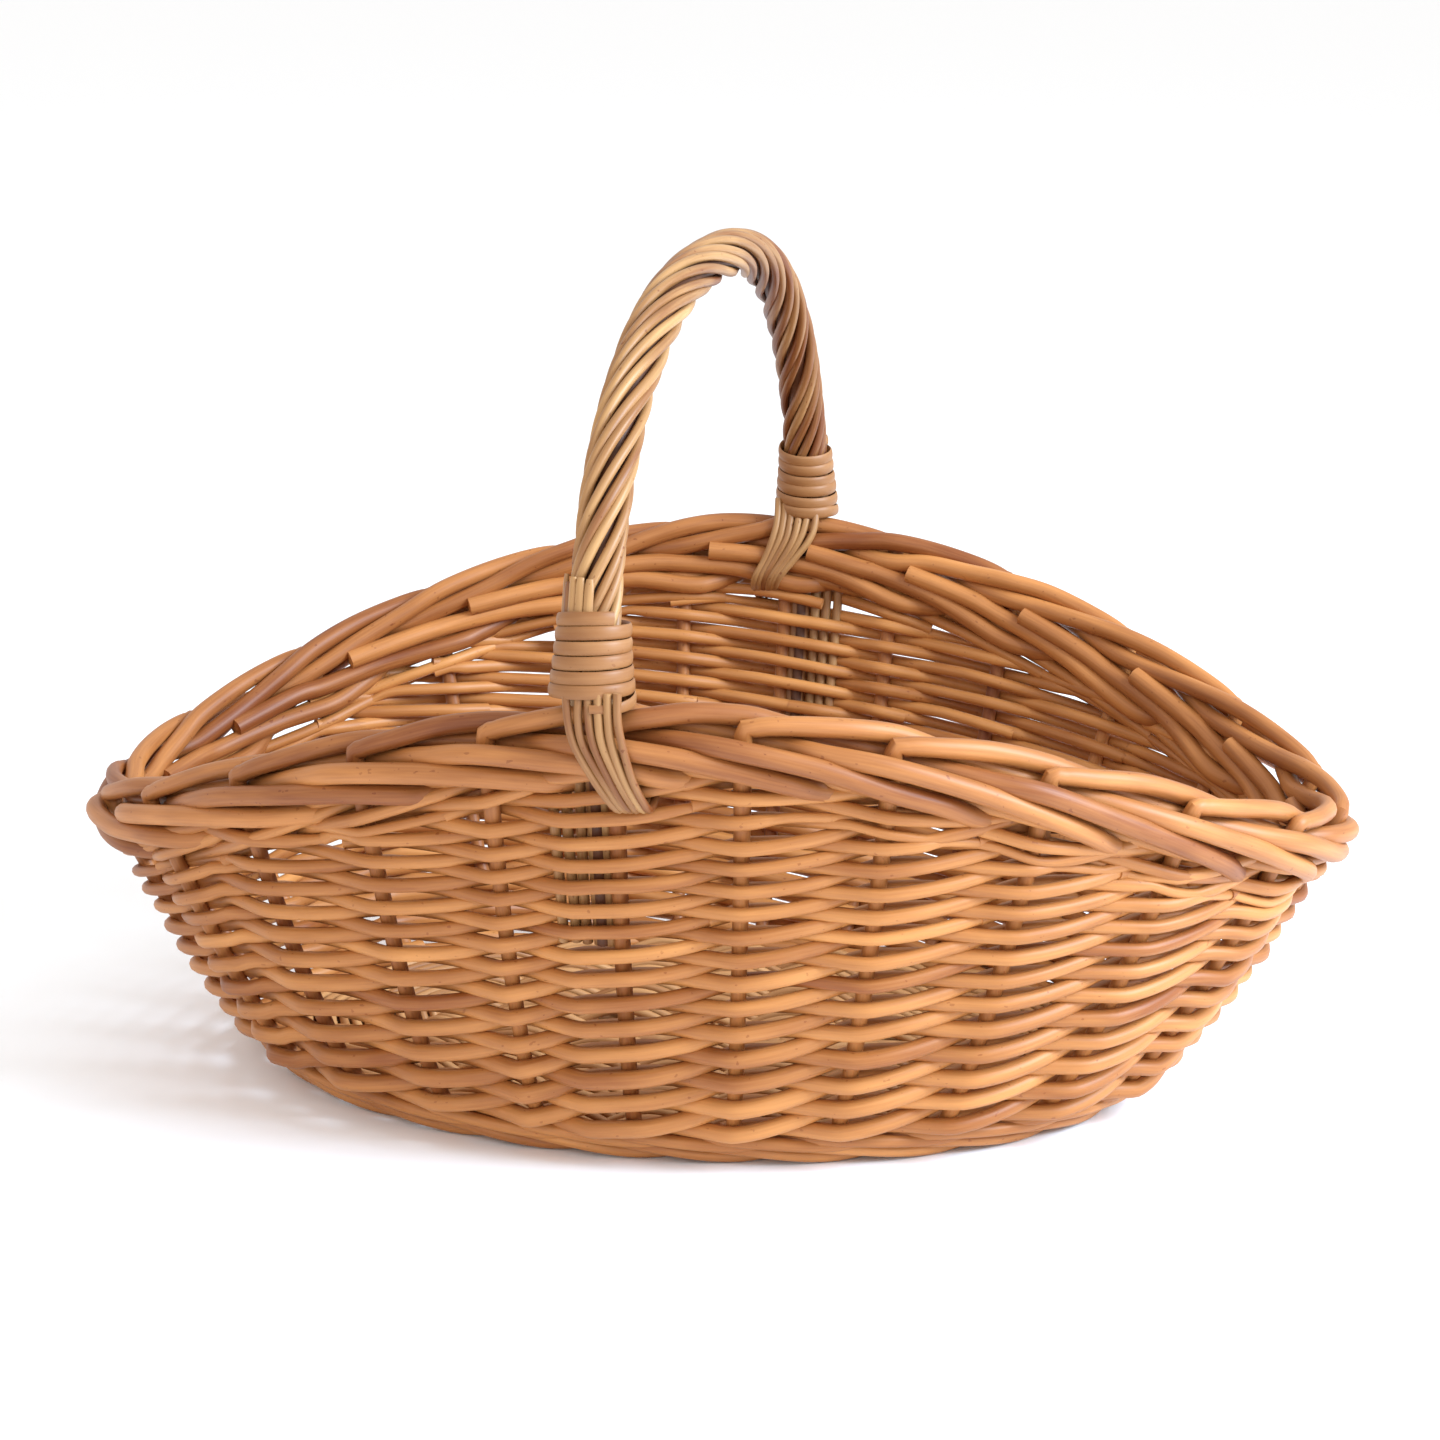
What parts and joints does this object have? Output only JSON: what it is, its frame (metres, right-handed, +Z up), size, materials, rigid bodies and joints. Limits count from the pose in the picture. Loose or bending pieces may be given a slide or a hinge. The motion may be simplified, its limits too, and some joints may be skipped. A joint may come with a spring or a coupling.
{
  "type": "woven willow basket",
  "caption": "Boat-shaped oval market basket of woven willow, with a plaited border and a roped bow handle across the middle.",
  "frame": {"origin": "middle of the base's underside, under the middle of the basket", "axes": "+X along the basket's length, +Y across it along the handle, +Z up"},
  "size_m": [0.4967, 0.3542, 0.3269],
  "materials": {
    "stake_willow": "satin",
    "weaving_willow": "satin",
    "base_willow": "satin",
    "bow_willow": "satin",
    "roping_willow": "satin",
    "binding_cane": "satin"
  },
  "bodies": {
    "root": {"anchor_rods_back": "roping_willow", "anchor_rods_front": "roping_willow", "base_cross_stick_1": "base_willow", "base_cross_stick_2": "base_willow", "base_cross_stick_3": "base_willow", "base_cross_stick_4": "base_willow", "base_cross_stick_5": "base_willow", "base_cross_stick_6": "base_willow", "base_cross_stick_7": "base_willow", "base_long_stick_1": "base_willow", "base_long_stick_2": "base_willow", "base_long_stick_3": "base_willow", "base_weave": "base_willow", "cane_binding_back": "binding_cane", "cane_binding_front": "binding_cane", "foot_wale": "weaving_willow", "handle_bow": "bow_willow", "handle_roping": "roping_willow", "liner_rods_back": "roping_willow", "liner_rods_front": "roping_willow", "lower_siding": "weaving_willow", "stake_01": "stake_willow", "stake_02": "stake_willow", "stake_03": "stake_willow", "stake_04": "stake_willow", "stake_05": "stake_willow", "stake_06": "stake_willow", "stake_07": "stake_willow", "stake_08": "stake_willow", "stake_09": "stake_willow", "stake_10": "stake_willow", "stake_11": "stake_willow", "stake_12": "stake_willow", "stake_13": "stake_willow", "stake_14": "stake_willow", "stake_15": "stake_willow", "stake_16": "stake_willow", "stake_17": "stake_willow", "stake_18": "stake_willow", "stake_19": "stake_willow", "stake_20": "stake_willow", "stake_21": "stake_willow", "stake_22": "stake_willow", "stake_23": "stake_willow", "stake_24": "stake_willow", "upper_siding": "weaving_willow"}
  },
  "joints": []
}
